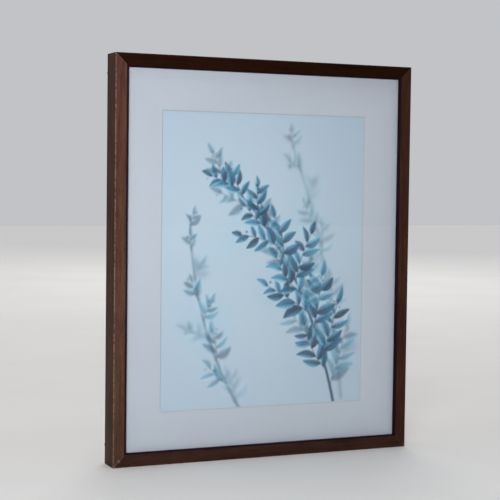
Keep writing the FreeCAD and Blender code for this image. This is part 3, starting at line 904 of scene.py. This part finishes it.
# %% Hardboard
BOARD_ROUND = 0.3 * MM
DARK_SPECK = (0.040, 0.022, 0.012, 1.0)
hardboard = Recipe("hardboard", Roughness=0.5, Specular_IOR_Level=0.4)
tangle = hardboard.noise(hardboard.place(), 190, 6.0, 0.72, 2.2)
speck = hardboard.noise(hardboard.place(), 850, 3.0, 0.65, 0.8)
cloud = hardboard.noise(hardboard.place(), 14, 3.0, 0.5)
board_tone = hardboard.ramp(
    tangle, (0.30, (0.085, 0.045, 0.022)), (0.48, (0.150, 0.084, 0.043)), (0.70, (0.235, 0.142, 0.078))
)
board_tone = hardboard.mix(hardboard.ramp(speck, (0.36, 0.55), (0.46, 0.0)), board_tone, DARK_SPECK)
board_tone = hardboard.tinted(board_tone, hardboard.ramp(cloud, (0.3, 0.84), (0.7, 1.10)))
polish = hardboard.ramp(tangle, (0.3, 0.58), (0.7, 0.42))
relief = hardboard.bump(speck, 0.05 * MM, 0.4, hardboard.bump(tangle, 0.12 * MM, 0.35))
hardboard.finish(Base_Color=board_tone, Roughness=polish, Normal=relief)
board = soften(merged_copy("backing_board"), BOARD_ROUND)
finished(board, "hardboard_back", "frame", "backing_board", [hardboard.material])

# %% [markdown]
# ## Pine strainer
#
# Four bars of planed pine press the hardboard home and carry the hangers. Pine has wide pale bands of
# spring growth between narrow orange bands of summer growth, which on a long cut run almost straight
# along the bar. A wave whose bands are bent by stretched noise draws them.

# %% Pine recipe
PINE_LENGTHWAYS = 0.06
PINE_PORE = (0.270, 0.150, 0.070, 1.0)
PINE_GROWTH = (
    (0.25, (0.640, 0.455, 0.262)),
    (0.70, (0.560, 0.350, 0.175)),
    (0.95, (0.400, 0.210, 0.090)),
)


def pine(name, along, seed):
    """Planed pine with its grain along X or Z."""
    wood = Recipe(name, Roughness=0.6, Specular_IOR_Level=0.35)
    stretch = (PINE_LENGTHWAYS, 1, 1) if along == "X" else (1, 1, PINE_LENGTHWAYS)
    grain = wood.moved(wood.place(stretch), (seed, seed, seed))
    bent = wood.moved(grain, wood.noise(grain, 60, 2.0))
    growth = {"Vector": bent, "Scale": 55.0, "Distortion": 1.2, "Detail": 2.0, "Detail Scale": 3.0}
    rings = wood.add("TexWave", growth, bands_direction="Z" if along == "X" else "X").outputs["Fac"]
    pores = wood.noise(grain, 1700, 2.0, 0.6)
    cloud = wood.noise(wood.place(), 16, 2.0)
    tone = wood.ramp(rings, *PINE_GROWTH)
    tone = wood.mix(wood.ramp(pores, (0.36, 0.30), (0.46, 0.0)), tone, PINE_PORE)
    tone = wood.tinted(tone, wood.ramp(cloud, (0.3, 0.86), (0.7, 1.08)))
    relief = wood.bump(pores, 0.08 * MM, 0.4, wood.bump(rings, 0.08 * MM, 0.35))
    return wood.finish(Base_Color=tone, Normal=relief)


print("grain stretched", round(1 / PINE_LENGTHWAYS), "times")

# %% [markdown]
# ## The bars of the strainer
#
# Each bar is halved into its neighbours at the corners, and its arrises are taken off with a stroke of
# sandpaper. The halvings are in the measured bars already. Each bar starts at another place in the
# grain, or all four would look sawn from the same inch of wood.

# %% Strainer bars
BAR_ROUND = 0.35 * MM
BAR_SHIFT = 2.3
for number, (side, along) in enumerate((("top", "X"), ("bottom", "X"), ("left", "Z"), ("right", "Z"))):
    node = "strainer_" + side
    planed = pine("pine_" + side, along, BAR_SHIFT * number)
    bar = soften(merged_copy(node), BAR_ROUND)
    finished(bar, "pine_bar_" + side, "frame", node, [planed])

# %% [markdown]
# ## Zinc plate
#
# The turn buttons, hangers and screws are mild steel with a bright zinc plating. Zinc is greyer and
# softer than chrome: tumbled parts have tiny marks all over, and the plating is a little cloudy, so
# the roughness wanders. The nails that hold the mitres are zinc too. They are driven in below the
# surface, so they keep their measured shape.

# %% Zinc recipe
def zinc(name, tone, rough, grain_scale):
    """Bright zinc plating on steel."""
    metal = Recipe(name, Metallic=1.0)
    cloud = metal.noise(metal.place(), 260, 3.0, 0.6)
    marks = metal.noise(metal.place((1, 1, 6)), grain_scale, 2.0, 0.7)
    colour = metal.ramp(cloud, (0.3, scaled(tone, 0.78)), (0.7, tone))
    haze = metal.ramp(cloud, (0.3, rough * 1.35), (0.7, rough * 0.8))
    return metal.finish(Base_Color=colour, Roughness=haze, Normal=metal.bump(marks, 0.02 * MM, 0.4))


zinc_plate = zinc("zinc_plate", (0.66, 0.66, 0.64), 0.30, 2600)
screw_zinc = zinc("screw_zinc", (0.60, 0.60, 0.58), 0.34, 3400)
repaint("v_nails", screw_zinc)

# %% [markdown]
# ## Turn buttons
#
# Eight stamped tabs keep the strainer in. Each swivels on its screw, so each rides on its own body.
# A stamping has crisp edges on one side and rolled ones on the other. At this size an even rounding
# looks the same, and the merged copy keeps the bent tip and the hole exactly where they are.

# %% Turn buttons
BUTTON_ROUND = 0.18 * MM
for node in [name for name in nodes if name.startswith("turn_button")]:
    button = soften(merged_copy(node), BUTTON_ROUND)
    finished(button, "zinc_" + node, node, node, [zinc_plate])

# %% [markdown]
# ## Hangers
#
# Each hanger is a steel strip that is folded round the straight bar of a D-ring and held down by one
# screw. The ring has to turn in the fold, so it rides on a body of its own. Its wire is measured with
# ten flats. A bevel along every long edge makes it round, and its smooth shading hides what is left.

# %% Hanger straps and rings
STRAP_ROUND = 0.12 * MM
WIRE_ROUND = 0.2 * MM
WIRE_EDGE = math.radians(25)
WIRE_SHADING = math.radians(50)
for side in ("left", "right"):
    node = "hanger_strap_" + side
    strap = soften(merged_copy(node), STRAP_ROUND)
    finished(strap, "zinc_" + node, "frame", node, [zinc_plate])
    node = "hanger_ring_" + side
    ring = soften(merged_copy(node), WIRE_ROUND, angle=WIRE_EDGE)
    finished(ring, "zinc_" + node, node, node, [zinc_plate], WIRE_SHADING)

# %% [markdown]
# ## Screws
#
# Three kinds of screw hold the hardware: flat heads sunk into the strainer's corners, pan heads on
# the turn buttons, and larger pan heads on the hangers. Their driver's crosses are cut in the measured
# pieces, so the copies need only the small rounding that cold forming and plating leave.

# %% Screws
SCREW_ROUND = 0.1 * MM
for node in ("strainer_screws", "button_screws", "hanger_screws"):
    screws = soften(merged_copy(node), SCREW_ROUND)
    finished(screws, "zinc_" + node, "frame", node, [screw_zinc])

# %% [markdown]
# ## Wall bumpers
#
# Four black rubber pads keep the frame off the wall, so that air passes behind it. Each is a short
# cone that spreads to its glued foot. It is made afresh, because a cone with a bevelled rim takes two
# operators and comes out rounder than the measured one.

# %% Bumpers
BUMPER_SIDES = 48
BUMPER_TIP = 4.35 * MM
BUMPER_ROUND = 0.7 * MM
TO_THE_WALL = Matrix.Rotation(math.radians(-90), 3, "X")
rubber = Recipe("bumper_rubber", Roughness=0.75, Specular_IOR_Level=0.35)
dust = rubber.noise(rubber.place(), 500, 4.0, 0.7)
rubber.finish(
    Base_Color=rubber.ramp(dust, (0.35, (0.018, 0.018, 0.019)), (0.75, (0.050, 0.049, 0.047))),
    Roughness=rubber.ramp(dust, (0.3, 0.66), (0.7, 0.85)),
    Normal=rubber.bump(dust, 0.06 * MM, 0.5),
)
for node in [name for name in nodes if name.startswith("bumper_")]:
    low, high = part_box(node)
    foot, height = (high.x - low.x) / 2, high.y - low.y
    pad = bmesh.new()
    bmesh.ops.create_cone(
        pad, cap_ends=True, segments=BUMPER_SIDES, radius1=foot, radius2=BUMPER_TIP, depth=height
    )
    rim = [edge for edge in pad.edges if all(point.co.z > 0 for point in edge.verts)]
    bmesh.ops.bevel(
        pad, geom=rim, offset=BUMPER_ROUND, offset_type="OFFSET", segments=4, profile=0.5,
        affect="EDGES", material=-1,
    )
    bmesh.ops.rotate(pad, verts=pad.verts, cent=(0, 0, 0), matrix=TO_THE_WALL)
    bmesh.ops.translate(pad, verts=pad.verts, vec=(low + high) / 2)
    finished(pad, "rubber_" + node, "frame", node, [rubber.material])

# %% [markdown]
